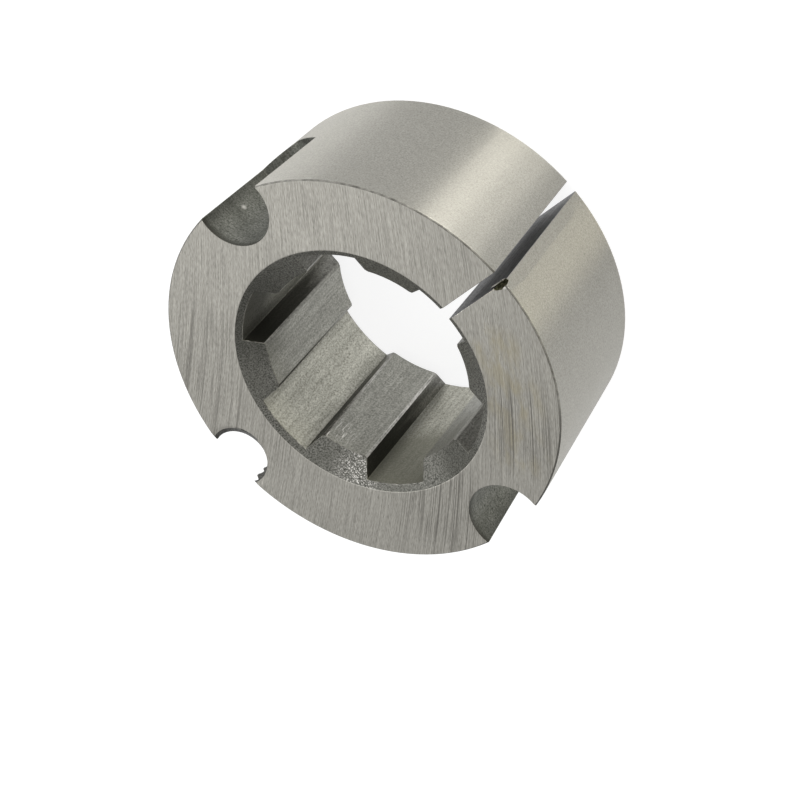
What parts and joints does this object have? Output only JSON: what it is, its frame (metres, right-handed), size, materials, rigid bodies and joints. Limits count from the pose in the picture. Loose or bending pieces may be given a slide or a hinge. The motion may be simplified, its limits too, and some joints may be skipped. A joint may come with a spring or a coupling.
{
  "type": "taper bush",
  "caption": "Short tapered bush, slit along one side, with a straight-sided spline bore and half holes in its rim for the fasteners that draw it into a hub.",
  "frame": {"origin": "centre of the small end's face, on the bush's axis", "axes": "+Z along the axis to the large end, +X through the middle of the slit"},
  "size_m": [0.0567, 0.0568, 0.0254],
  "materials": {
    "machined_iron": "machined, satin: ground end faces, turned taper, broached bore"
  },
  "bodies": {
    "root": {"taper_bush": "machined_iron"}
  },
  "joints": []
}
